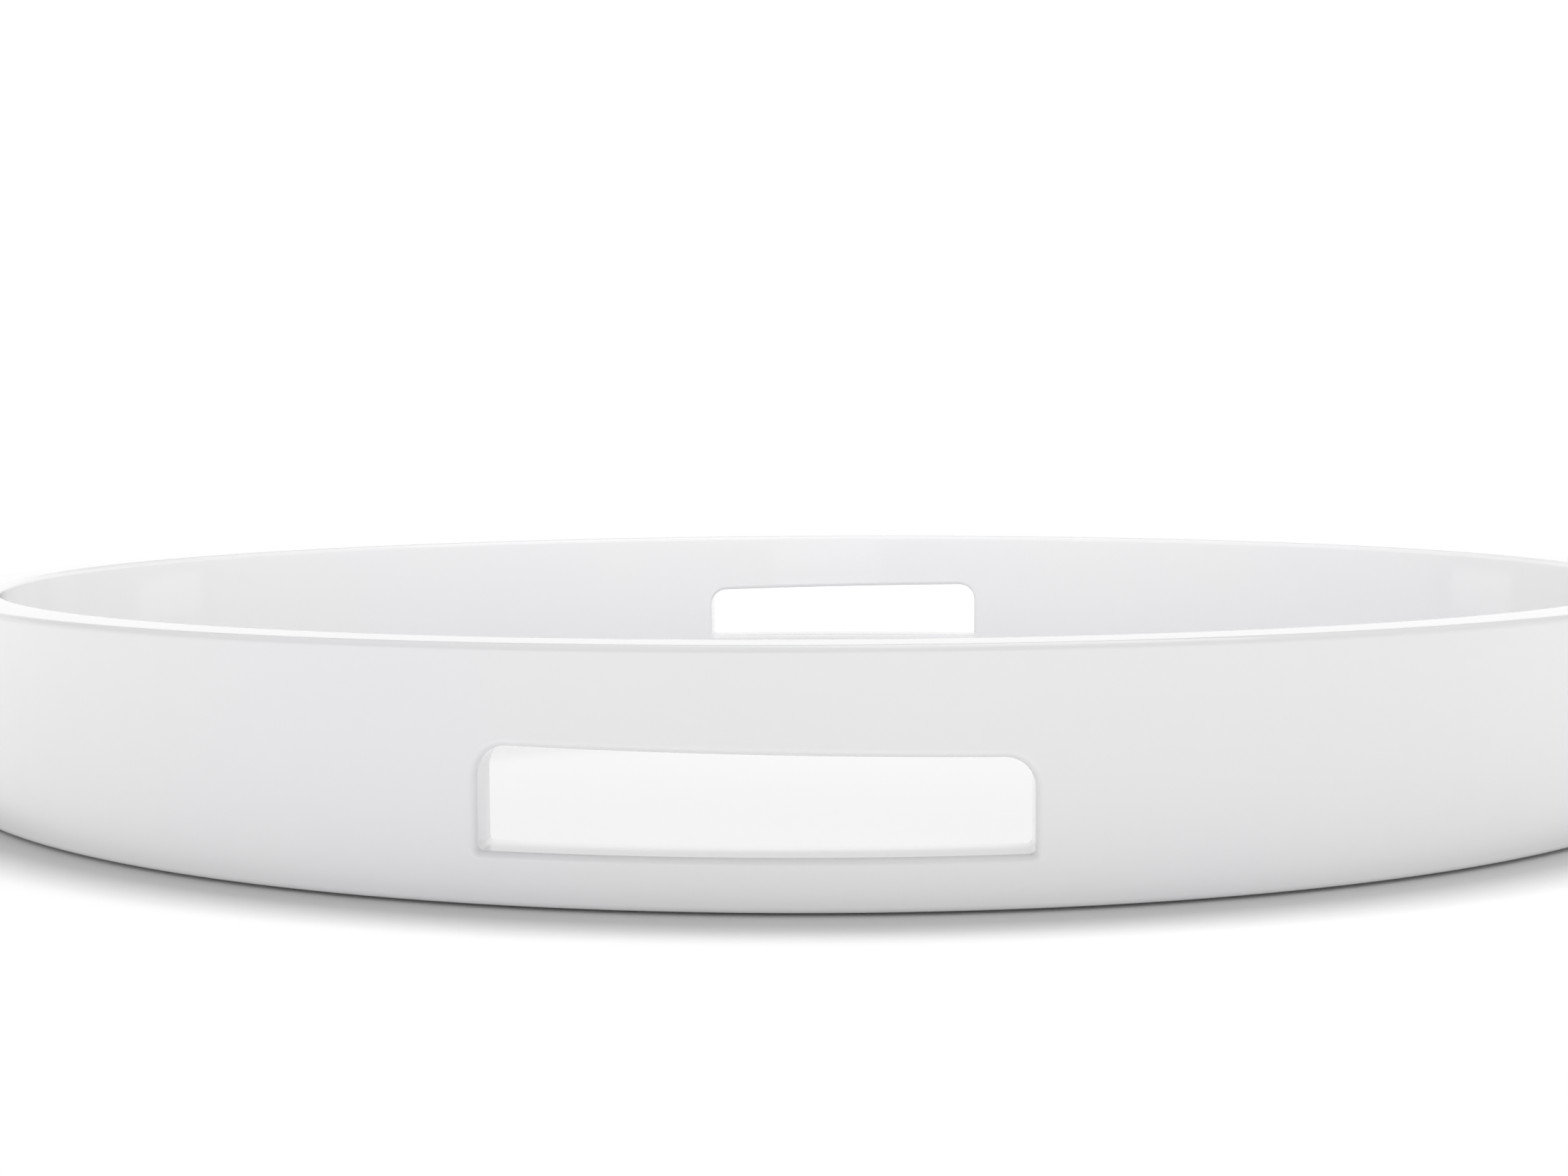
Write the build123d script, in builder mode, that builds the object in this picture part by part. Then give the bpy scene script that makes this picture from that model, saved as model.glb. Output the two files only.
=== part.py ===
from build123d import *

import math
import os

# Round vanity tray of lacquered wood with two cut-out handles.
#
# The wall is a hoop of three bent plies, each a strip whose ends meet in a glued seam.
# The inner ply is narrower than the others, and the base panel sits in the step it leaves.
# Brads driven through the outer plies hold the panel's edge, and putty closes their holes.
# A thick gloss lacquer covers the top and sides, a satin one the underside, and the tray
# stands on four self-adhesive felt pads.
#
# Frame: millimetres, +Z up, origin on the tray's axis in the plane it stands on.
# The handles face -Y (front) and +Y (rear).

# Driving dimensions of the finished, lacquered tray
OUTER_DIAMETER = 457.0
WALL_HEIGHT = 47.5
FLOOR_GAP = 0.6
UNDERSIDE_RECESS = 1.5
RIM_FILLET = 1.6
FOOT_EDGE_FILLET = 1.2
COVE_FILLET = 1.0

# Layers
COAT = 0.5
PLY = 4.0
BASE_THICKNESS = 4.5

# Cut-out handles: the opening itself, before its edges are rounded over. Seen from outside,
# its left end is a little taller, its lower corners nearly square and its upper ones rounded.
SLOT_WIDTH = 100.0
SLOT_LEFT_HEIGHT = 19.3
SLOT_RIGHT_HEIGHT = 17.3
SLOT_SILL = 9.8
SLOT_UPPER_CORNER = 5.5
SLOT_LOWER_CORNER = 1.0
SLOT_EDGE_FILLET = 1.5

# Joinery
GLUE_LINE = 0.2
OUTER_PLY_SEAM = 20.0
CORE_PLY_SEAM = 150.0
INNER_PLY_SEAM = 210.0
BRAD_COUNT = 12
BRAD_RADIUS = 0.6
BRAD_LENGTH = 20.0
BRAD_SET_DEPTH = 1.0
BRAD_FIRST_ANGLE = 15.0

# Felt pads
PAD_RADIUS = 11.0
PAD_CIRCLE_RADIUS = 188.0
PAD_EDGE_FILLET = 0.5
ADHESIVE_THICKNESS = 0.2
PAD_ANGLES = {"front_left": 225.0, "front_right": 315.0, "rear_right": 45.0, "rear_left": 135.0}

# Worked out from the above
OUTER_RADIUS = OUTER_DIAMETER / 2
WALL_THICKNESS = 3 * PLY + 2 * COAT
INNER_RADIUS = OUTER_RADIUS - WALL_THICKNESS
WALL_BOTTOM = FLOOR_GAP
WALL_TOP = WALL_BOTTOM + WALL_HEIGHT
UNDERSIDE = WALL_BOTTOM + UNDERSIDE_RECESS
BASE_BOTTOM = UNDERSIDE + COAT
BASE_TOP = BASE_BOTTOM + BASE_THICKNESS
FLOOR_TOP = BASE_TOP + COAT
PLY_OUTER_RADIUS = OUTER_RADIUS - COAT
PLY_BOTTOM = WALL_BOTTOM + COAT
PLY_TOP = WALL_TOP - COAT
BASE_RADIUS = PLY_OUTER_RADIUS - 2 * PLY
SEAM_GAP_ANGLE = math.degrees(GLUE_LINE / PLY_OUTER_RADIUS)
SILL = WALL_BOTTOM + SLOT_SILL
BASE_MIDDLE = BASE_BOTTOM + BASE_THICKNESS / 2
BRAD_OUTER_END = PLY_OUTER_RADIUS - BRAD_SET_DEPTH
PAD_THICKNESS = UNDERSIDE - ADHESIVE_THICKNESS
COAT_SPLIT_RADIUS = PLY_OUTER_RADIUS - PLY / 2


def slot_cutters(inset):
    """A bar through each handle, larger than its opening by inset all round."""
    with BuildPart() as bars:
        for facing in (0, 180):
            with BuildSketch(Plane.XZ.rotated((0, 0, facing))) as outline:
                with BuildLine():
                    Polyline(
                        (-SLOT_WIDTH / 2, SILL),
                        (SLOT_WIDTH / 2, SILL),
                        (SLOT_WIDTH / 2, SILL + SLOT_RIGHT_HEIGHT),
                        (-SLOT_WIDTH / 2, SILL + SLOT_LEFT_HEIGHT),
                        close=True,
                    )
                make_face()
                upper_corners = outline.vertices().sort_by(Axis.Y)[2:]
                lower_corners = outline.vertices().sort_by(Axis.Y)[:2]
                fillet(upper_corners, SLOT_UPPER_CORNER)
                fillet(lower_corners, SLOT_LOWER_CORNER)
                offset(amount=inset)
            extrude(amount=OUTER_DIAMETER)
    return bars.part


def tray_body(inset):
    """The whole tray as one block, with every surface moved inwards by inset.

    inset 0 is the lacquer's face, and inset COAT is the wood's.
    """
    recess_radius = BASE_RADIUS - COAT + inset
    outer = OUTER_RADIUS - inset
    inner = INNER_RADIUS + inset
    underside = UNDERSIDE + inset
    bottom = WALL_BOTTOM + inset
    top = WALL_TOP - inset
    floor = FLOOR_TOP - inset
    with BuildPart() as body:
        with BuildSketch(Plane.XZ) as profile:
            with BuildLine():
                Polyline(
                    (0, underside),
                    (recess_radius, underside),
                    (recess_radius, bottom),
                    (outer, bottom),
                    (outer, top),
                    (inner, top),
                    (inner, floor),
                    (0, floor),
                    close=True,
                )
            make_face()
            rim_corners = profile.vertices().group_by(Axis.Y)[-1]
            fillet(rim_corners, RIM_FILLET - inset)
            foot_corner = profile.vertices().group_by(Axis.Y)[0].sort_by(Axis.X)[-1]
            fillet(foot_corner, FOOT_EDGE_FILLET - inset)
            if inset == 0:
                cove_corner = profile.vertices().sort_by_distance((inner, floor))[0]
                fillet(cove_corner, COVE_FILLET)
        revolve(axis=Axis.Z)
        add(slot_cutters(inset), mode=Mode.SUBTRACT)
        slot_rims = body.edges(Select.LAST).filter_by(Axis.Y, reverse=True)
        fillet(slot_rims, SLOT_EDGE_FILLET - inset)
    return body.part


def ply_strip(inner_radius, bottom, seam_angle, eased_corners=()):
    """A strip one ply thick, bent round until its ends meet, with the handles cut through it.

    eased_corners lists the corners of its section to round, each as its place and a radius.
    """
    with BuildPart() as strip:
        with BuildSketch(Plane.XZ.rotated((0, 0, seam_angle))) as section:
            with Locations((inner_radius + PLY / 2, (bottom + PLY_TOP) / 2)):
                Rectangle(PLY, PLY_TOP - bottom)
            for corner, easing in eased_corners:
                fillet(section.vertices().sort_by_distance(corner)[0], easing)
        revolve(axis=Axis.Z, revolution_arc=360 - SEAM_GAP_ANGLE)
        add(slot_cutters(COAT), mode=Mode.SUBTRACT)
    return strip.part


def brad_shafts(inner_end, outer_end):
    """One cylinder for each brad, lying along a radius between two distances from the axis."""
    with BuildPart() as shafts:
        with Locations((0, 0, BASE_MIDDLE)):
            with PolarLocations((inner_end + outer_end) / 2, BRAD_COUNT, start_angle=BRAD_FIRST_ANGLE):
                Cylinder(BRAD_RADIUS, outer_end - inner_end, rotation=(0, 90, 0))
    return shafts.part


os.makedirs("parts", exist_ok=True)

brad_holes = brad_shafts(BRAD_OUTER_END - BRAD_LENGTH, OUTER_RADIUS)

# ---- wall hoop: three bent plies, the inner one narrower ----

rim_easing = RIM_FILLET - COAT
foot_easing = FOOT_EDGE_FILLET - COAT
slot_easing = SLOT_EDGE_FILLET - COAT

with BuildPart() as outer_ply:
    rim_corner = (PLY_OUTER_RADIUS, PLY_TOP)
    foot_corner = (PLY_OUTER_RADIUS, PLY_BOTTOM)
    eased = [(rim_corner, rim_easing), (foot_corner, foot_easing)]
    add(ply_strip(PLY_OUTER_RADIUS - PLY, PLY_BOTTOM, OUTER_PLY_SEAM, eased))
    show_face = outer_ply.faces().sort_by(SortBy.AREA)[-2:].sort_by(Face.radius)[-1]
    fillet(show_face.inner_wires().edges(), slot_easing)
    add(brad_holes, mode=Mode.SUBTRACT)

with BuildPart() as core_ply:
    add(ply_strip(BASE_RADIUS, PLY_BOTTOM, CORE_PLY_SEAM))
    add(brad_holes, mode=Mode.SUBTRACT)

with BuildPart() as inner_ply:
    eased = [((BASE_RADIUS - PLY, PLY_TOP), rim_easing)]
    add(ply_strip(BASE_RADIUS - PLY, BASE_TOP, INNER_PLY_SEAM, eased))
    show_face = inner_ply.faces().sort_by(SortBy.AREA)[-2:].sort_by(Face.radius)[0]
    fillet(show_face.inner_wires().edges(), slot_easing)

# ---- base panel in the step under the inner ply, and its brads ----

with BuildPart() as base_panel:
    with BuildSketch(Plane.XY.offset(BASE_BOTTOM)):
        Circle(BASE_RADIUS)
    extrude(amount=BASE_THICKNESS)
    add(brad_holes, mode=Mode.SUBTRACT)

with BuildPart() as brads:
    add(brad_shafts(BRAD_OUTER_END - BRAD_LENGTH, BRAD_OUTER_END))

with BuildPart() as brad_hole_putty:
    add(brad_shafts(BRAD_OUTER_END, OUTER_RADIUS))
    with BuildSketch():
        Circle(PLY_OUTER_RADIUS)
    extrude(amount=WALL_HEIGHT, mode=Mode.INTERSECT)

# ---- lacquer: gloss above and outside, satin below ----

lacquer_face = tray_body(0)
wood_face = tray_body(COAT)

with BuildPart() as gloss_lacquer:
    add(lacquer_face)
    add(wood_face, mode=Mode.SUBTRACT)
    with BuildSketch():
        Circle(COAT_SPLIT_RADIUS)
    extrude(amount=BASE_MIDDLE, mode=Mode.SUBTRACT)

with BuildPart() as underside_lacquer:
    add(lacquer_face)
    add(wood_face, mode=Mode.SUBTRACT)
    with BuildSketch():
        Circle(COAT_SPLIT_RADIUS)
    extrude(amount=BASE_MIDDLE, mode=Mode.INTERSECT)

pieces = {
    "outer_ply": outer_ply,
    "core_ply": core_ply,
    "inner_ply": inner_ply,
    "base_panel": base_panel,
    "brads": brads,
    "brad_hole_putty": brad_hole_putty,
    "gloss_lacquer": gloss_lacquer,
    "underside_lacquer": underside_lacquer,
}

# ---- felt pads, each on its adhesive disc ----

for place, angle in PAD_ANGLES.items():
    with BuildPart() as felt_pad:
        with BuildSketch(Plane.XY):
            with PolarLocations(PAD_CIRCLE_RADIUS, 1, start_angle=angle):
                Circle(PAD_RADIUS)
        extrude(amount=PAD_THICKNESS)
        fillet(felt_pad.edges().group_by(Axis.Z)[0], PAD_EDGE_FILLET)
    with BuildPart() as adhesive_disc:
        with BuildSketch(Plane.XY.offset(PAD_THICKNESS)):
            with PolarLocations(PAD_CIRCLE_RADIUS, 1, start_angle=angle):
                Circle(PAD_RADIUS)
        extrude(amount=ADHESIVE_THICKNESS)
    pieces[f"felt_pad_{place}"] = felt_pad
    pieces[f"pad_adhesive_{place}"] = adhesive_disc

for name, piece in pieces.items():
    piece.part.label = name
    export_step(piece.part, f"parts/{name}.step")
    print(name, len(piece.part.solids()), "solids", round(piece.part.volume), "mm3")
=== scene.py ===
import math

import bmesh
import bpy
import numpy as np
from mathutils import Matrix, Vector, noise


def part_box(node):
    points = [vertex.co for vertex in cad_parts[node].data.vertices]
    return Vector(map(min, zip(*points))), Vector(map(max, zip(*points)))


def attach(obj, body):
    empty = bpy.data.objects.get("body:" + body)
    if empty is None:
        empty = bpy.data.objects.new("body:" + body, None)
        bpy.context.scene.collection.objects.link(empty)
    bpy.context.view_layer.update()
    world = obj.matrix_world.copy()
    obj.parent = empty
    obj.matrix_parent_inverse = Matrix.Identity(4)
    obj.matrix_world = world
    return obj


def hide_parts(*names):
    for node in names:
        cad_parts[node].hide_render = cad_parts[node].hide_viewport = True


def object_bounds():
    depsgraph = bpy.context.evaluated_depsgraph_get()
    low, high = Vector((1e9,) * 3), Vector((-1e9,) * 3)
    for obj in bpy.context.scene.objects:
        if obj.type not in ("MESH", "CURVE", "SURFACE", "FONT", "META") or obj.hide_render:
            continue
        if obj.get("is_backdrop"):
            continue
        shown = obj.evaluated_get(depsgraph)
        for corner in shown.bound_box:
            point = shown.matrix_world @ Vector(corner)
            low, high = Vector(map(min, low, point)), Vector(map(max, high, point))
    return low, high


# A round vanity tray in gloss white lacquer, standing on a white studio floor.
# Metres, in the CAD frame: +Z up, z = 0 where the pads stand, handles facing -Y and +Y.

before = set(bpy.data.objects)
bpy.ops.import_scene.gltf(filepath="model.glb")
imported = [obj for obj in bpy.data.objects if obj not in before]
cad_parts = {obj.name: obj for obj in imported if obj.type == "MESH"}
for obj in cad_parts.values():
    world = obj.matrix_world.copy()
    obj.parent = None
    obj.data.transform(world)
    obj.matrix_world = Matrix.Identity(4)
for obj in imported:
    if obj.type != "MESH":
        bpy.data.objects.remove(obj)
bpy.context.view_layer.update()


# ---- sizes, read from the frame ----

def reach(node):
    """How far a CAD node stands out from the tray's axis."""
    return max(math.hypot(v.co.x, v.co.y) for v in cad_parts[node].data.vertices)


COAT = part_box("gloss_lacquer")[1].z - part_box("outer_ply")[1].z
PLY = reach("outer_ply") - reach("core_ply")
OUTER_RADIUS = reach("gloss_lacquer")
BASE_RADIUS = reach("base_panel")
INNER_RADIUS = BASE_RADIUS - PLY - COAT
SPLIT_RADIUS = reach("underside_lacquer")
WALL_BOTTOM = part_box("gloss_lacquer")[0].z
WALL_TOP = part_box("gloss_lacquer")[1].z
FLOOR_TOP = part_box("base_panel")[1].z + COAT
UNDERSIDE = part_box("base_panel")[0].z - COAT

# Sizes that no box gives, the same as in the CAD model
RIM_FILLET = 0.0016
FOOT_FILLET = 0.0012
COVE_FILLET = 0.0010
SLOT_WIDTH = 0.100
SLOT_LEFT_HEIGHT = 0.0193
SLOT_RIGHT_HEIGHT = 0.0173
SLOT_SILL = 0.0098
SLOT_UPPER_CORNER = 0.0055
SLOT_LOWER_CORNER = 0.0010
SLOT_FILLET = 0.0015

# The underside's recess has sharp corners in the CAD model, and the lacquer rounds them a little
RECESS_FILLET = 0.0003

# How finely the lacquer's surfaces are divided. A window is the part of a wall's grid that is
# left out round a handle, from WINDOW_STEPS before its middle to WINDOW_STEPS after it.
TURN_STEPS = 480
FLOOR_STEPS = 8
RIM_STEPS = 4
RECESS_STEPS = 2
FILLET_STEPS = 8
WINDOW_STEPS = 22
WINDOW_ROWS = 18
ROWS_BELOW_WINDOW = 2
ROWS_ABOVE_WINDOW = 4
CORNER_STEPS = 6
PATCH_RINGS = 6
TUNNEL_RINGS = 6

# Points this close are one point, and heights are one height if these decimals agree
WELD = 1e-6
HEIGHT_DECIMALS = 9

SILL = WALL_BOTTOM + SLOT_SILL
WINDOW_ANGLE = 2 * math.pi * WINDOW_STEPS / TURN_STEPS
WINDOW_MARGIN = 0.004


# ---- mesh tools ----

# Shifts the welding cells, so that round numbers don't fall on their edges
CELL_SHIFT = 1 / math.pi


def link_smooth(name, mesh):
    """Puts a mesh in the scene as a new object, shaded smooth."""
    mesh.polygons.foreach_set("use_smooth", [True] * len(mesh.polygons))
    piece = bpy.data.objects.new(name, mesh)
    bpy.context.scene.collection.objects.link(piece)
    return piece


class Surface:
    """Gathers grids of points with their true normals, and welds them into one mesh."""

    def __init__(self):
        self.points = []
        self.normals = []
        self.quads = []
        self.count = 0

    def add(self, points, normals, skip=None):
        """Adds a grid of rows by columns, whose last column joins its first.

        skip marks the cells to leave out.
        """
        rows, columns = points.shape[:2]
        ids = self.count + np.arange(rows * columns).reshape(rows, columns)
        after = np.roll(ids, -1, axis=1)
        quads = np.stack([ids[:-1], after[:-1], after[1:], ids[1:]], axis=-1)
        keep = np.ones(quads.shape[:2], bool)
        if skip is not None:
            keep &= ~skip
        self.points.append(points.reshape(-1, 3))
        self.normals.append(normals.reshape(-1, 3))
        self.quads.append(quads[keep])
        self.count += rows * columns

    def build(self, name):
        """One closed object, whose shading follows the true normals."""
        points = np.concatenate(self.points)
        normals = np.concatenate(self.normals)
        quads = np.concatenate(self.quads)
        across = points[quads[:, 2]] - points[quads[:, 0]]
        along = points[quads[:, 3]] - points[quads[:, 1]]
        facing = (np.cross(across, along) * normals[quads].sum(axis=1)).sum(axis=1)
        quads[facing < 0] = quads[facing < 0][:, ::-1]
        cells = np.floor(points / WELD + CELL_SHIFT).astype(np.int64)
        _, first, welded = np.unique(cells, axis=0, return_index=True, return_inverse=True)
        welded = welded.reshape(-1)
        faces = []
        corner_normals = []
        for quad in quads:
            corners = [c for i, c in enumerate(quad) if welded[c] != welded[quad[i - 1]]]
            if len(corners) > 2:
                faces.append([int(welded[c]) for c in corners])
                corner_normals.extend(normals[c] for c in corners)
        mesh = bpy.data.meshes.new(name)
        mesh.from_pydata(points[first].tolist(), [], faces)
        piece = link_smooth(name, mesh)
        mesh.normals_split_custom_set([tuple(n) for n in corner_normals])
        return piece


def straight(start, end, normal, steps=1, side=1):
    """A straight run of a turned section: rows of radius, height and normal."""
    parts = np.linspace(0, 1, steps + 1)[:, None]
    places = np.array(start) + (np.array(end) - np.array(start)) * parts
    return np.hstack([places, np.tile(np.array(normal) * side, (steps + 1, 1))])


def rounded(centre, radius, start, end, side=1, hollow=1):
    """An arc of a turned section, between two angles in degrees. hollow is -1 on a cove."""
    angles = np.radians(np.linspace(start, end, FILLET_STEPS + 1))
    away = np.stack([np.cos(angles), np.sin(angles)], axis=1)
    return np.hstack([np.array(centre) + radius * away, away * side * hollow])


def turned(surface, section, skip=None):
    """Turns a section round the tray's axis."""
    angles = np.arange(TURN_STEPS) * 2 * math.pi / TURN_STEPS
    cos, sin = np.cos(angles), np.sin(angles)
    radius, height, out, up = section.T[:, :, None]
    flat = np.ones(TURN_STEPS)
    points = np.stack([radius * cos, radius * sin, height * flat], axis=-1)
    normals = np.stack([out * cos, out * sin, up * flat], axis=-1)
    surface.add(points, normals, skip=skip)


def window_cells(heights, low, high):
    """Which cells of a wall's grid are in a window, where a handle's patch takes their place."""
    skip = np.zeros((len(heights) - 1, TURN_STEPS), bool)
    inside = (heights[:-1] > low - WELD) & (heights[1:] < high + WELD)
    for middle in (TURN_STEPS // 4, 3 * TURN_STEPS // 4):
        columns = np.arange(middle - WINDOW_STEPS, middle + WINDOW_STEPS)
        skip[np.ix_(inside, columns)] = True
    return skip


def wall(surface, radius, outward, bottom, top, low, high, side):
    """One face of the wall, from bottom to top, with its windows from low to high left out."""
    below = np.linspace(bottom, low, ROWS_BELOW_WINDOW + 1)
    beside = np.linspace(low, high, WINDOW_ROWS + 1)
    above = np.linspace(high, top, ROWS_ABOVE_WINDOW + 1)
    heights = np.unique(np.round(np.concatenate([below, beside, above]), HEIGHT_DECIMALS))
    rows = np.tile([radius, 0, outward * side, 0], (len(heights), 1))
    rows[:, 1] = heights
    turned(surface, rows, window_cells(heights, low, high))


def slot_outline(grow):
    """The handle opening's outline as x, z and its normal, seen from outside the tray.

    It starts half-way round the lower left corner, and has as many points as a window's edge.
    Its normal points away from the opening, and grow moves it that way.
    """
    half = SLOT_WIDTH / 2
    corners = (
        ((-half, SILL), SLOT_LOWER_CORNER),
        ((half, SILL), SLOT_LOWER_CORNER),
        ((half, SILL + SLOT_RIGHT_HEIGHT), SLOT_UPPER_CORNER),
        ((-half, SILL + SLOT_LEFT_HEIGHT), SLOT_UPPER_CORNER),
    )
    places = [Vector(place) for place, _ in corners]
    arcs = []
    for i, (_, radius) in enumerate(corners):
        back = (places[i - 1] - places[i]).normalized()
        ahead = (places[(i + 1) % len(places)] - places[i]).normalized()
        half_angle = back.angle(ahead) / 2
        centre = places[i] + (back + ahead).normalized() * radius / math.sin(half_angle)
        to_centre = centre - places[i]
        first = (to_centre - back * back.dot(to_centre)).normalized()
        last = (to_centre - ahead * ahead.dot(to_centre)).normalized()
        steps = 2 * CORNER_STEPS
        swing = [-first.slerp(last, step / steps) for step in range(steps + 1)]
        arcs.append([(centre + away * (radius + grow), away) for away in swing])
    outline = []
    for i, steps in enumerate((2 * WINDOW_STEPS, WINDOW_ROWS, 2 * WINDOW_STEPS, WINDOW_ROWS)):
        leaving = arcs[i][CORNER_STEPS:]
        arriving = arcs[(i + 1) % len(arcs)][:CORNER_STEPS]
        start, away = leaving[-1]
        end, _ = arriving[0]
        parts = steps - 2 * CORNER_STEPS
        run = [(start.lerp(end, part / parts), away) for part in range(1, parts)]
        outline += leaving + run + arriving
    x, z, normal_x, normal_z = np.array([(*place, *away) for place, away in outline]).T
    return x, z, normal_x, normal_z


def window_edge(low, high):
    """The window's edge as angle and height, in step with slot_outline."""
    across = np.linspace(-WINDOW_ANGLE, WINDOW_ANGLE, 2 * WINDOW_STEPS + 1)
    up = np.linspace(low, high, WINDOW_ROWS + 1)
    bottom = (across[:-1], np.full(2 * WINDOW_STEPS, low))
    right = (np.full(WINDOW_ROWS, WINDOW_ANGLE), up[:-1])
    top = (across[:0:-1], np.full(2 * WINDOW_STEPS, high))
    left = (np.full(WINDOW_ROWS, -WINDOW_ANGLE), up[:0:-1])
    angle, height = (np.concatenate(parts) for parts in zip(bottom, right, top, left))
    return angle, height


def bend_between(first, last):
    """Unit vectors swinging from first to last in even steps."""
    angle = np.arccos(np.clip((first * last).sum(axis=1), -1, 1))[:, None]
    parts = np.linspace(0, 1, FILLET_STEPS + 1)[:, None, None]
    return (np.sin((1 - parts) * angle) * first + np.sin(parts * angle) * last) / np.sin(angle)


def handle(surface, facing, inset, outer_window, inner_window, side):
    """The surface round one handle: both faces of the wall, both rounded edges and the tunnel.

    facing is -1 for the front handle and 1 for the rear one.
    """
    x, z, normal_x, normal_z = slot_outline(inset)
    x, normal_x = -facing * x, -facing * normal_x
    fillet = SLOT_FILLET - inset
    away = np.stack([normal_x, np.zeros_like(x), normal_z], axis=1)
    centre_x = x + fillet * normal_x
    centre_z = z + fillet * normal_z

    def wall_point(radius, angle, height):
        """Points by their angle from the handle's middle."""
        return np.stack([radius * np.sin(angle), facing * radius * np.cos(angle), height], axis=-1)

    def face_rings(radius, ball_radius, outward, window):
        """Rings on one face of the wall, from the window's edge to where the rounding starts.

        The rounding is a ball's path round the opening, ball_radius out from the tray's axis.
        """
        edge_angle, edge_height = window_edge(*window)
        edge_angle = -facing * edge_angle
        near_angle = np.arcsin(centre_x / ball_radius)
        parts = np.linspace(0, 1, PATCH_RINGS + 1)[:, None]
        angle = edge_angle + (near_angle - edge_angle) * parts
        height = edge_height + (centre_z - edge_height) * parts
        return wall_point(radius, angle, height), outward * wall_point(1.0, angle, height * 0)

    def fillet_rings(ball_radius, outward):
        """Rings round one rounded edge, from the wall's face to the tunnel."""
        angle = np.arcsin(centre_x / ball_radius)
        centre = wall_point(ball_radius, angle, centre_z)
        swing = bend_between(outward * wall_point(1.0, angle, angle * 0), -away)
        return centre + fillet * swing, swing

    outer_ball = OUTER_RADIUS - SLOT_FILLET
    inner_ball = INNER_RADIUS + SLOT_FILLET
    outer_face = face_rings(OUTER_RADIUS - inset, outer_ball, 1, outer_window)
    outer_edge = fillet_rings(outer_ball, 1)
    inner_edge = fillet_rings(inner_ball, -1)
    inner_face = face_rings(INNER_RADIUS + inset, inner_ball, -1, inner_window)
    parts = np.linspace(0, 1, TUNNEL_RINGS + 1)[:, None, None]
    tunnel_points = outer_edge[0][-1] + (inner_edge[0][-1] - outer_edge[0][-1]) * parts
    tunnel = (tunnel_points, np.tile(-away, (TUNNEL_RINGS + 1, 1, 1)))
    for ring_points, ring_normals in (outer_face, outer_edge, tunnel, inner_edge, inner_face):
        surface.add(ring_points, ring_normals * side)


# ---- the lacquer ----

def gloss_skin(surface, inset, side):
    """One side of the gloss coat, from the middle of the floor over the rim to the wall's foot.

    inset 0 is the face that shows, and inset COAT the one on the wood.
    """
    outer = OUTER_RADIUS - inset
    inner = INNER_RADIUS + inset
    floor = FLOOR_TOP - inset
    top = WALL_TOP - inset
    bottom = WALL_BOTTOM + inset
    rim = RIM_FILLET - inset
    foot = FOOT_FILLET - inset
    cove = 0.0 if inset else COVE_FILLET
    slot_low = SILL - SLOT_FILLET
    slot_high = SILL + SLOT_LEFT_HEIGHT + SLOT_FILLET
    # The outer window starts half-way from the foot to the opening, the inner one on the cove
    outer_window = ((bottom + foot + slot_low) / 2, slot_high + WINDOW_MARGIN)
    inner_window = (floor + cove, slot_high + WINDOW_MARGIN)
    turned(surface, straight((0, floor), (inner - cove, floor), (0, 1), FLOOR_STEPS, side))
    if cove:
        turned(surface, rounded((inner - cove, floor + cove), cove, -90, 0, side, -1))
    wall(surface, inner, -1, floor + cove, top - rim, *inner_window, side)
    turned(surface, rounded((inner + rim, top - rim), rim, 180, 90, side))
    turned(surface, straight((inner + rim, top), (outer - rim, top), (0, 1), RIM_STEPS, side))
    turned(surface, rounded((outer - rim, top - rim), rim, 90, 0, side))
    wall(surface, outer, 1, bottom + foot, top - rim, *outer_window, side)
    turned(surface, rounded((outer - foot, bottom + foot), foot, 0, -90, side))
    turned(surface, straight((outer - foot, bottom), (SPLIT_RADIUS, bottom), (0, -1), side=side))
    for facing in (-1, 1):
        handle(surface, facing, inset, outer_window, inner_window, side)


def satin_skin(surface, inset, side):
    """One side of the satin coat, from the wall's foot across the recessed underside.

    inset is as for gloss_skin.
    """
    recess = BASE_RADIUS - COAT + inset
    bottom = WALL_BOTTOM + inset
    underside = UNDERSIDE + inset
    ease = 0.0 if inset else RECESS_FILLET
    lip = straight((SPLIT_RADIUS, bottom), (recess + ease, bottom), (0, -1), RECESS_STEPS, side)
    step = straight((recess, bottom + ease), (recess, underside - ease), (-1, 0), RECESS_STEPS, side)
    turned(surface, lip)
    if ease:
        turned(surface, rounded((recess + ease, bottom + ease), ease, -90, -180, side))
    turned(surface, step)
    if ease:
        turned(surface, rounded((recess - ease, underside - ease), ease, 0, 90, side, -1))
    turned(surface, straight((recess - ease, underside), (0, underside), (0, -1), FLOOR_STEPS, side))


def coat_edge(surface, outward):
    """The coat's cut edge, where gloss and satin meet under the wall."""
    edge = straight((SPLIT_RADIUS, WALL_BOTTOM), (SPLIT_RADIUS, WALL_BOTTOM + COAT), (outward, 0))
    turned(surface, edge)


def coat_piece(name, skin, outward):
    """A closed coat: the side that shows, the side on the wood, and the cut edge between them."""
    surface = Surface()
    skin(surface, 0.0, 1)
    skin(surface, COAT, -1)
    coat_edge(surface, outward)
    return surface.build(name)


gloss_coat = coat_piece("gloss_coat", gloss_skin, -1)
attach(gloss_coat, "root")
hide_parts("gloss_lacquer")

satin_coat = coat_piece("satin_coat", satin_skin, 1)
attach(satin_coat, "root")
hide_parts("underside_lacquer")


# ---- felt pads ----

PAD_STEPS = 96
PAD_UNDER_RINGS = 20
PAD_EDGE_RINGS = 6
PAD_SIDE_RINGS = 6
PAD_TOP_RINGS = 3

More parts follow.
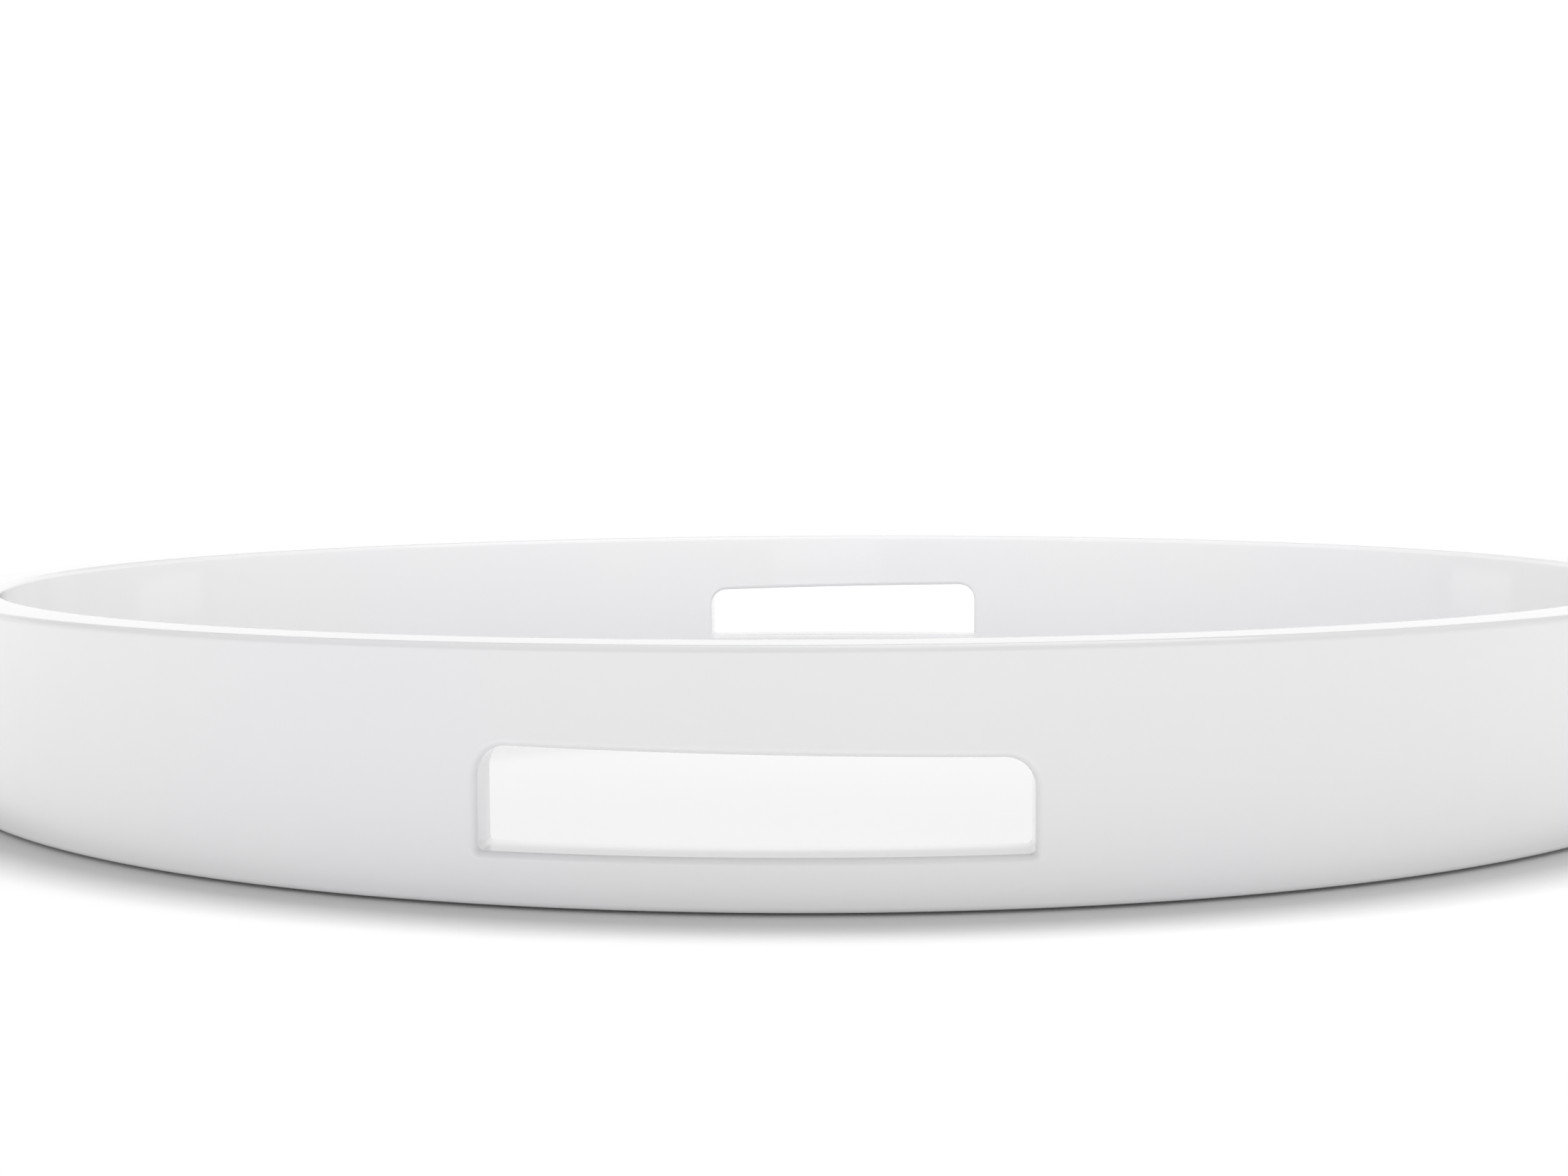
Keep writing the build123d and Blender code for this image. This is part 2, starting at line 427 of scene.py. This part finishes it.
# The lower edge's rounding: its radius, and the angle in degrees at which its rings start
PAD_EDGE = 0.0006
PAD_EDGE_START = -80

# The nap: its depth, how many lumps and fibres there are to a metre, and how deep the fibres
# are beside the lumps
PAD_FUZZ = 0.00009
PAD_LUMPS = 900.0
PAD_FIBRES = 4200.0
PAD_FIBRE_SHARE = 0.6


def pad_section(radius, height):
    """Half of a pad's section, as radius and height, from its middle below to its middle above."""
    flat_reach = radius - PAD_EDGE
    under = [(r, 0.0) for r in np.linspace(0, flat_reach, PAD_UNDER_RINGS)]
    turn = np.radians(np.linspace(PAD_EDGE_START, 0, PAD_EDGE_RINGS))
    edge = [(flat_reach + PAD_EDGE * math.cos(a), PAD_EDGE * (1 + math.sin(a))) for a in turn]
    side = [(radius, z) for z in np.linspace(PAD_EDGE, height, PAD_SIDE_RINGS + 1)[1:]]
    top = [(r, height) for r in np.linspace(radius, 0, PAD_TOP_RINGS + 1)[1:]]
    return under + edge + side + top


def felt_pad(node):
    """One pressed felt disc: a soft edge, a slightly uneven outline and a napped underside."""
    low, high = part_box(node)
    middle = (low + high) / 2
    radius, height = (high.x - low.x) / 2, high.z - low.z
    flat_reach = radius - PAD_EDGE
    section = pad_section(radius, height)
    verts = []
    for r, z in section:
        for step in range(PAD_STEPS):
            angle = 2 * math.pi * step / PAD_STEPS
            place = Vector((middle.x + r * math.cos(angle), middle.y + r * math.sin(angle), z))
            nap = noise.noise(place * PAD_LUMPS) + PAD_FIBRE_SHARE * noise.noise(place * PAD_FIBRES)
            # The nap fades out towards the glued top and the very middle
            loose = min(1.0, (height - z) / PAD_EDGE) * min(1.0, r / PAD_EDGE)
            drawn_in = PAD_FUZZ * (1 + PAD_FIBRE_SHARE + nap) * loose
            # It lifts the flat underside and draws in the upright side
            upright = max(0.0, (r - flat_reach) / PAD_EDGE)
            lift = drawn_in * (1 - upright)
            shrink = 1 - drawn_in * upright / radius
            verts.append((
                middle.x + (place.x - middle.x) * shrink,
                middle.y + (place.y - middle.y) * shrink,
                low.z + z + lift,
            ))
    faces = []
    for row in range(len(section) - 1):
        here, above = row * PAD_STEPS, (row + 1) * PAD_STEPS
        for step in range(PAD_STEPS):
            after = (step + 1) % PAD_STEPS
            faces.append((here + step, here + after, above + after, above + step))
    name = "felt_disc_" + node.removeprefix("felt_pad_")
    mesh = bpy.data.meshes.new(name)
    mesh.from_pydata(verts, [], faces)
    work = bmesh.new()
    work.from_mesh(mesh)
    bmesh.ops.remove_doubles(work, verts=work.verts, dist=WELD)
    bmesh.ops.recalc_face_normals(work, faces=work.faces)
    work.to_mesh(mesh)
    work.free()
    piece = link_smooth(name, mesh)
    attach(piece, "root")
    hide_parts(node)
    return piece


felt_pads = [felt_pad(node) for node in sorted(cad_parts) if node.startswith("felt_pad_")]


# ---- nodes ----

def feed(tree, socket, value):
    """Gives a socket a number, or links another node's output to it."""
    if isinstance(value, bpy.types.NodeSocket):
        tree.links.new(value, socket)
    else:
        socket.default_value = value


def mottle(tree, coordinates, scale, detail=2.0, stretch=None):
    """Noise between about 0 and 1, in features of about 1 / scale metres."""
    if stretch:
        mapping = tree.nodes.new("ShaderNodeMapping")
        mapping.inputs["Scale"].default_value = stretch
        tree.links.new(coordinates, mapping.inputs["Vector"])
        coordinates = mapping.outputs["Vector"]
    node = tree.nodes.new("ShaderNodeTexNoise")
    node.inputs["Scale"].default_value = scale
    node.inputs["Detail"].default_value = detail
    tree.links.new(coordinates, node.inputs["Vector"])
    return node.outputs["Fac"]


def ramp(tree, value, *stops):
    """Colours by value, each stop a place and a colour."""
    node = tree.nodes.new("ShaderNodeValToRGB")
    elements = node.color_ramp.elements
    while len(elements) < len(stops):
        elements.new(0.5)
    for element, (place, shade) in zip(elements, stops):
        element.position = place
        element.color = (*shade, 1.0)
    tree.links.new(value, node.inputs["Fac"])
    return node.outputs["Color"]


def mix(tree, blend_type, factor, first, second):
    """Lays a second colour over a first one."""
    node = tree.nodes.new("ShaderNodeMix")
    node.data_type = "RGBA"
    node.blend_type = blend_type
    node.inputs["Factor"].default_value = factor
    tree.links.new(first, node.inputs["A"])
    tree.links.new(second, node.inputs["B"])
    return node.outputs["Result"]


def spread(tree, value, start, end, first, last, interpolation="LINEAR"):
    """Goes from first to last as value goes from start to end."""
    node = tree.nodes.new("ShaderNodeMapRange")
    node.interpolation_type = interpolation
    tree.links.new(value, node.inputs["Value"])
    ends = {"From Min": start, "From Max": end, "To Min": first, "To Max": last}
    for name, amount in ends.items():
        feed(tree, node.inputs[name], amount)
    return node.outputs["Result"]


def calculate(tree, operation, *values):
    """One step of arithmetic on numbers or other nodes' outputs."""
    node = tree.nodes.new("ShaderNodeMath")
    node.operation = operation
    for socket, value in zip(node.inputs, values):
        feed(tree, socket, value)
    return node.outputs["Value"]


def split_xyz(tree, vector):
    """A vector's X, Y and Z."""
    node = tree.nodes.new("ShaderNodeSeparateXYZ")
    tree.links.new(vector, node.inputs["Vector"])
    return node.outputs


def round_the_hoop(tree, at):
    """Coordinates that run round the tray's axis, up it and out from it, all in metres."""
    x, y, z = split_xyz(tree, at)
    across = calculate(tree, "MULTIPLY", x, x)
    along = calculate(tree, "MULTIPLY", y, y)
    radius = calculate(tree, "SQRT", calculate(tree, "ADD", across, along))
    turn = calculate(tree, "MULTIPLY", calculate(tree, "ARCTAN2", y, x), OUTER_RADIUS)
    joined = tree.nodes.new("ShaderNodeCombineXYZ")
    for value, socket in zip((turn, z, radius), joined.inputs):
        tree.links.new(value, socket)
    return joined.outputs["Vector"]


# ---- materials ----

def material(name):
    """A new material, with its tree, its shader and object coordinates in metres."""
    made = bpy.data.materials.new(name)
    made.use_nodes = True
    tree = made.node_tree
    shader = tree.nodes["Principled BSDF"]
    coordinates = tree.nodes.new("ShaderNodeTexCoord").outputs["Object"]
    return made, tree, shader, coordinates


def colour(tree, shader, value):
    """Gives a shader the colour that another node puts out."""
    tree.links.new(value, shader.inputs["Base Color"])


def roughness(tree, shader, value, first, last):
    """Roughness that goes from first to last as value goes from 0 to 1."""
    tree.links.new(spread(tree, value, 0.0, 1.0, first, last), shader.inputs["Roughness"])


def bump(tree, shader, *layers):
    """Stacks bumps on a shader, each layer a height and its depth in metres."""
    normal = None
    for height, depth in layers:
        node = tree.nodes.new("ShaderNodeBump")
        node.inputs["Strength"].default_value = 1.0
        node.inputs["Distance"].default_value = depth
        tree.links.new(height, node.inputs["Height"])
        if normal:
            tree.links.new(normal, node.inputs["Normal"])
        normal = node.outputs["Normal"]
    tree.links.new(normal, shader.inputs["Normal"])


def gloss_lacquer():
    """Sprayed gloss white, with a trace of orange peel."""
    made, tree, shader, at = material("gloss_lacquer")
    cool, warm = (0.852, 0.850, 0.866), (0.862, 0.862, 0.862)
    colour(tree, shader, ramp(tree, mottle(tree, at, 9.0), (0.35, cool), (0.65, warm)))
    roughness(tree, shader, mottle(tree, at, 60.0), 0.035, 0.085)
    shader.inputs["IOR"].default_value = 1.5
    shader.inputs["Coat Weight"].default_value = 0.3
    shader.inputs["Coat Roughness"].default_value = 0.02
    bump(tree, shader, (mottle(tree, at, 420.0), 0.000003), (mottle(tree, at, 45.0), 0.000015))
    return made


def satin_lacquer():
    """White with less shine than the gloss coat, and finely pebbled."""
    made, tree, shader, at = material("satin_lacquer")
    cool, warm = (0.74, 0.74, 0.75), (0.79, 0.79, 0.79)
    colour(tree, shader, ramp(tree, mottle(tree, at, 14.0), (0.3, cool), (0.7, warm)))
    roughness(tree, shader, mottle(tree, at, 90.0), 0.38, 0.55)
    bump(tree, shader, (mottle(tree, at, 900.0, 4.0), 0.00002))
    return made


def bent_ply():
    """Raw veneer with its grain running round the hoop."""
    made, tree, shader, at = material("bent_ply")
    round_at = round_the_hoop(tree, at)
    grain = mottle(tree, round_at, 1.0, 5.0, (25.0, 900.0, 900.0))
    figure = mottle(tree, round_at, 1.0, 3.0, (6.0, 110.0, 110.0))
    light, mid, dark = (0.66, 0.48, 0.29), (0.55, 0.37, 0.20), (0.38, 0.23, 0.11)
    pores, plain = (0.55, 0.48, 0.42), (1.0, 1.0, 1.0)
    wood = ramp(tree, figure, (0.30, light), (0.55, mid), (0.80, dark))
    lines = ramp(tree, grain, (0.30, pores), (0.65, plain))
    colour(tree, shader, mix(tree, "MULTIPLY", 0.55, wood, lines))
    roughness(tree, shader, grain, 0.75, 0.5)
    bump(tree, shader, (grain, 0.00012), (figure, 0.0002))
    return made


def fibreboard():
    """Pressed wood fibre: fine flecks and a faint cloudiness."""
    made, tree, shader, at = material("fibreboard")
    flecks = mottle(tree, at, 1100.0, 6.0, (1.0, 0.6, 1.6))
    clouds = mottle(tree, at, 35.0, 3.0)
    dark, light = (0.30, 0.20, 0.12), (0.56, 0.42, 0.28)
    dull, plain = (0.80, 0.78, 0.76), (1.0, 1.0, 1.0)
    fibre = ramp(tree, flecks, (0.30, dark), (0.60, light))
    haze = ramp(tree, clouds, (0.25, dull), (0.75, plain))
    colour(tree, shader, mix(tree, "MULTIPLY", 0.6, fibre, haze))
    roughness(tree, shader, flecks, 0.95, 0.75)
    bump(tree, shader, (flecks, 0.00006))
    return made


def drawn_steel():
    """Bright wire with fine drawing marks and a few dull patches."""
    made, tree, shader, at = material("steel")
    marks = mottle(tree, at, 2600.0, 3.0)
    patches = mottle(tree, at, 260.0, 4.0)
    dull, bright = (0.38, 0.37, 0.36), (0.62, 0.62, 0.64)
    colour(tree, shader, ramp(tree, patches, (0.35, dull), (0.65, bright)))
    shader.inputs["Metallic"].default_value = 1.0
    roughness(tree, shader, patches, 0.45, 0.22)
    bump(tree, shader, (marks, 0.00001))
    return made


def wood_putty():
    """Dried putty, matt and finely gritty."""
    made, tree, shader, at = material("putty")
    grit = mottle(tree, at, 3200.0, 5.0)
    dark, light = (0.50, 0.40, 0.27), (0.70, 0.60, 0.44)
    colour(tree, shader, ramp(tree, grit, (0.30, dark), (0.70, light)))
    roughness(tree, shader, grit, 0.9, 0.65)
    bump(tree, shader, (grit, 0.00003))
    return made


def pressed_felt():
    """Grey wool felt: matted fibres of several shades, painted shade in the hollows between tufts
    and painted light on their tops, a napped surface and a soft sheen.
    """
    made, tree, shader, at = material("felt")
    fibres = mottle(tree, at, 3800.0, 6.0, (1.0, 0.35, 1.0))
    crossing = mottle(tree, at, 3000.0, 6.0, (0.3, 1.0, 1.0))
    tufts = mottle(tree, at, 500.0, 4.0)
    deep, pale = (0.19, 0.18, 0.17), (0.52, 0.51, 0.48)
    # Painted shade and light: darker in the tufts' hollows, lighter on their tops, following the
    # tufts' bump
    hollow, lit_tuft_top = (0.27, 0.26, 0.25), (0.44, 0.43, 0.41)
    wool = ramp(tree, fibres, (0.32, deep), (0.62, pale))
    tuft_shading = ramp(tree, tufts, (0.30, hollow), (0.75, lit_tuft_top))
    colour(tree, shader, mix(tree, "MIX", 0.5, wool, tuft_shading))
    roughness(tree, shader, crossing, 1.0, 0.82)
    shader.inputs["Sheen Weight"].default_value = 0.6
    shader.inputs["Sheen Roughness"].default_value = 0.5
    bump(tree, shader, (fibres, 0.0002), (crossing, 0.0002), (tufts, 0.0001))
    return made


def tape_adhesive():
    """A yellowish glue film, shinier where it is thicker."""
    made, tree, shader, at = material("adhesive")
    film = mottle(tree, at, 700.0, 3.0)
    thick, thin = (0.68, 0.62, 0.46), (0.80, 0.76, 0.62)
    colour(tree, shader, ramp(tree, film, (0.30, thick), (0.70, thin)))
    roughness(tree, shader, film, 0.25, 0.5)
    bump(tree, shader, (film, 0.00004))
    return made


def paint(piece, made):
    """Puts one material on a piece, in place of any it had."""
    piece.data.materials.clear()
    piece.data.materials.append(made)


def repaint(made, *nodes):
    """Gives CAD nodes a material through the slots they already have."""
    for node in nodes:
        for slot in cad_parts[node].material_slots:
            slot.material = made


paint(gloss_coat, gloss_lacquer())
paint(satin_coat, satin_lacquer())
felt = pressed_felt()
for pad in felt_pads:
    paint(pad, felt)
repaint(bent_ply(), "outer_ply", "core_ply", "inner_ply")
repaint(fibreboard(), "base_panel")
repaint(drawn_steel(), "brads")
repaint(wood_putty(), "brad_hole_putty")
repaint(tape_adhesive(), *(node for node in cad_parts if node.startswith("pad_adhesive_")))


# ---- stage, lights and camera ----

STAGE_RADIUS = 12.0
STAGE_SIDES = 96

# The floor's glow is painted light: how strong it is, and its level at distances from the tray's
# axis, which are turned into shares of GLOW_SPAN. Close round the tray it doesn't glow, which
# leaves a painted shadow beside the tray's foot.
FLOOR_GLOW = 0.7
GLOW_LEVELS = ((0.2364, 0.0), (0.2496, 0.50), (0.60, 0.90), (1.60, 1.45))
GLOW_SPAN = 4.0


def stage_floor():
    """A round white floor that meets the horizon. It glows as painted light away from the tray, and
    not close round it, which leaves a painted shadow beside the tray's foot.
    """
    bpy.ops.mesh.primitive_circle_add(vertices=STAGE_SIDES, radius=STAGE_RADIUS, fill_type="NGON")
    floor = bpy.context.object
    floor.name = "stage_floor"
    made, tree, shader, at = material("white_sweep")
    cool, warm = (0.77, 0.77, 0.78), (0.79, 0.79, 0.79)
    colour(tree, shader, ramp(tree, mottle(tree, at, 3.0), (0.3, cool), (0.7, warm)))
    shader.inputs["Roughness"].default_value = 0.9
    shader.inputs["Specular IOR Level"].default_value = 0.1
    length = tree.nodes.new("ShaderNodeVectorMath")
    length.operation = "LENGTH"
    tree.links.new(at, length.inputs[0])
    share = calculate(tree, "MULTIPLY", length.outputs["Value"], 1 / GLOW_SPAN)
    stops = [(distance / GLOW_SPAN, (level,) * 3) for distance, level in GLOW_LEVELS]
    # Painted light and shadow: the glow rises with distance from the tray's axis, with none beside
    # the foot
    tree.links.new(ramp(tree, share, *stops), shader.inputs["Emission Color"])
    shader.inputs["Emission Strength"].default_value = FLOOR_GLOW
    paint(floor, made)
    floor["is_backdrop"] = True


# The sky's levels
SKY_TOP = 0.4
SKY_BACK = 1.02
SKY_FRONT_LEFT = 1.45
SKY_FRONT_RIGHT = 1.22

# Where one level turns into the next, as the X, Y or Z of a direction of length 1
LEFT_TO_RIGHT = (-0.7, 0.7)
FRONT_TO_BACK = (-0.7, 0.1)
HORIZON_TO_TOP = (0.22, 0.5)


def sky():
    """White all round near the horizon, brightest in front, and dimmer overhead."""
    world = bpy.data.worlds.new("white_studio")
    bpy.context.scene.world = world
    world.use_nodes = True
    tree = world.node_tree
    x, y, z = split_xyz(tree, tree.nodes.new("ShaderNodeTexCoord").outputs["Generated"])
    front = spread(tree, x, *LEFT_TO_RIGHT, SKY_FRONT_LEFT, SKY_FRONT_RIGHT, "SMOOTHSTEP")
    low = spread(tree, y, *FRONT_TO_BACK, front, SKY_BACK, "SMOOTHSTEP")
    radiance = spread(tree, z, *HORIZON_TO_TOP, low, SKY_TOP, "SMOOTHSTEP")
    background = tree.nodes["Background"]
    background.inputs["Color"].default_value = (1.0, 1.0, 1.0, 1.0)
    tree.links.new(radiance, background.inputs["Strength"])


def softbox(name, place, aim, width, depth, power, mirrored=True):
    """A rectangular softbox at place, facing aim, which the camera doesn't see.

    mirrored says if the lacquer reflects it.
    """
    data = bpy.data.lights.new(name, "AREA")
    data.shape = "RECTANGLE"
    data.size = width
    data.size_y = depth
    data.energy = power
    light = bpy.data.objects.new(name, data)
    light.location = place
    light.rotation_euler = (Vector(place) - Vector(aim)).to_track_quat("Z", "Y").to_euler()
    light.visible_camera = False
    light.visible_glossy = mirrored
    bpy.context.scene.collection.objects.link(light)


# A large key light overhead, and a long, narrow fill for the inside of the rear wall
KEY_PLACE = (0.16, 0.08, 0.80)
KEY_AIM = (0.0, 0.0, 0.0)
KEY_SIZE = (0.80, 0.52)
KEY_POWER = 1.3
FILL_PLACE = (0.02, -0.10, 0.45)
FILL_AIM = (0.0, 0.215, 0.03)
FILL_SIZE = (0.50, 0.12)
FILL_POWER = 1.1

# The camera: its lens in millimetres, its place in metres, and its angles in degrees
LENS = 48.78
CAMERA_BACK = 0.5973
CAMERA_LEFT = 0.0087
CAMERA_HEIGHT = 0.0831
CAMERA_HEADING = 3.69
CAMERA_PITCH = 3.864
CAMERA_ROLL = -0.348
CLIP_START = 0.01


def place_camera():
    """Low in front of the tray and a little to its right, turned to face it and tilted down."""
    low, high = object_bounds()
    heading, pitch, roll = (math.radians(a) for a in (CAMERA_HEADING, CAMERA_PITCH, CAMERA_ROLL))
    ahead = Vector((-math.sin(heading), math.cos(heading), 0))
    across = Vector((math.cos(heading), math.sin(heading), 0))
    camera = bpy.data.objects.new("camera", bpy.data.cameras.new("camera"))
    camera.data.lens = LENS
    camera.data.clip_start = CLIP_START
    middle = Vector(((low.x + high.x) / 2, (low.y + high.y) / 2, low.z))
    place = middle - ahead * CAMERA_BACK - across * CAMERA_LEFT + Vector((0, 0, CAMERA_HEIGHT))
    turn = Matrix.Rotation(heading, 4, "Z") @ Matrix.Rotation(math.pi / 2 - pitch, 4, "X")
    camera.matrix_world = Matrix.Translation(place) @ turn @ Matrix.Rotation(roll, 4, "Z")
    bpy.context.scene.collection.objects.link(camera)
    bpy.context.scene.camera = camera


stage_floor()
sky()
softbox("key", KEY_PLACE, KEY_AIM, *KEY_SIZE, KEY_POWER)
softbox("inner_fill", FILL_PLACE, FILL_AIM, *FILL_SIZE, FILL_POWER, mirrored=False)
place_camera()
bpy.context.scene.view_settings.view_transform = "Standard"
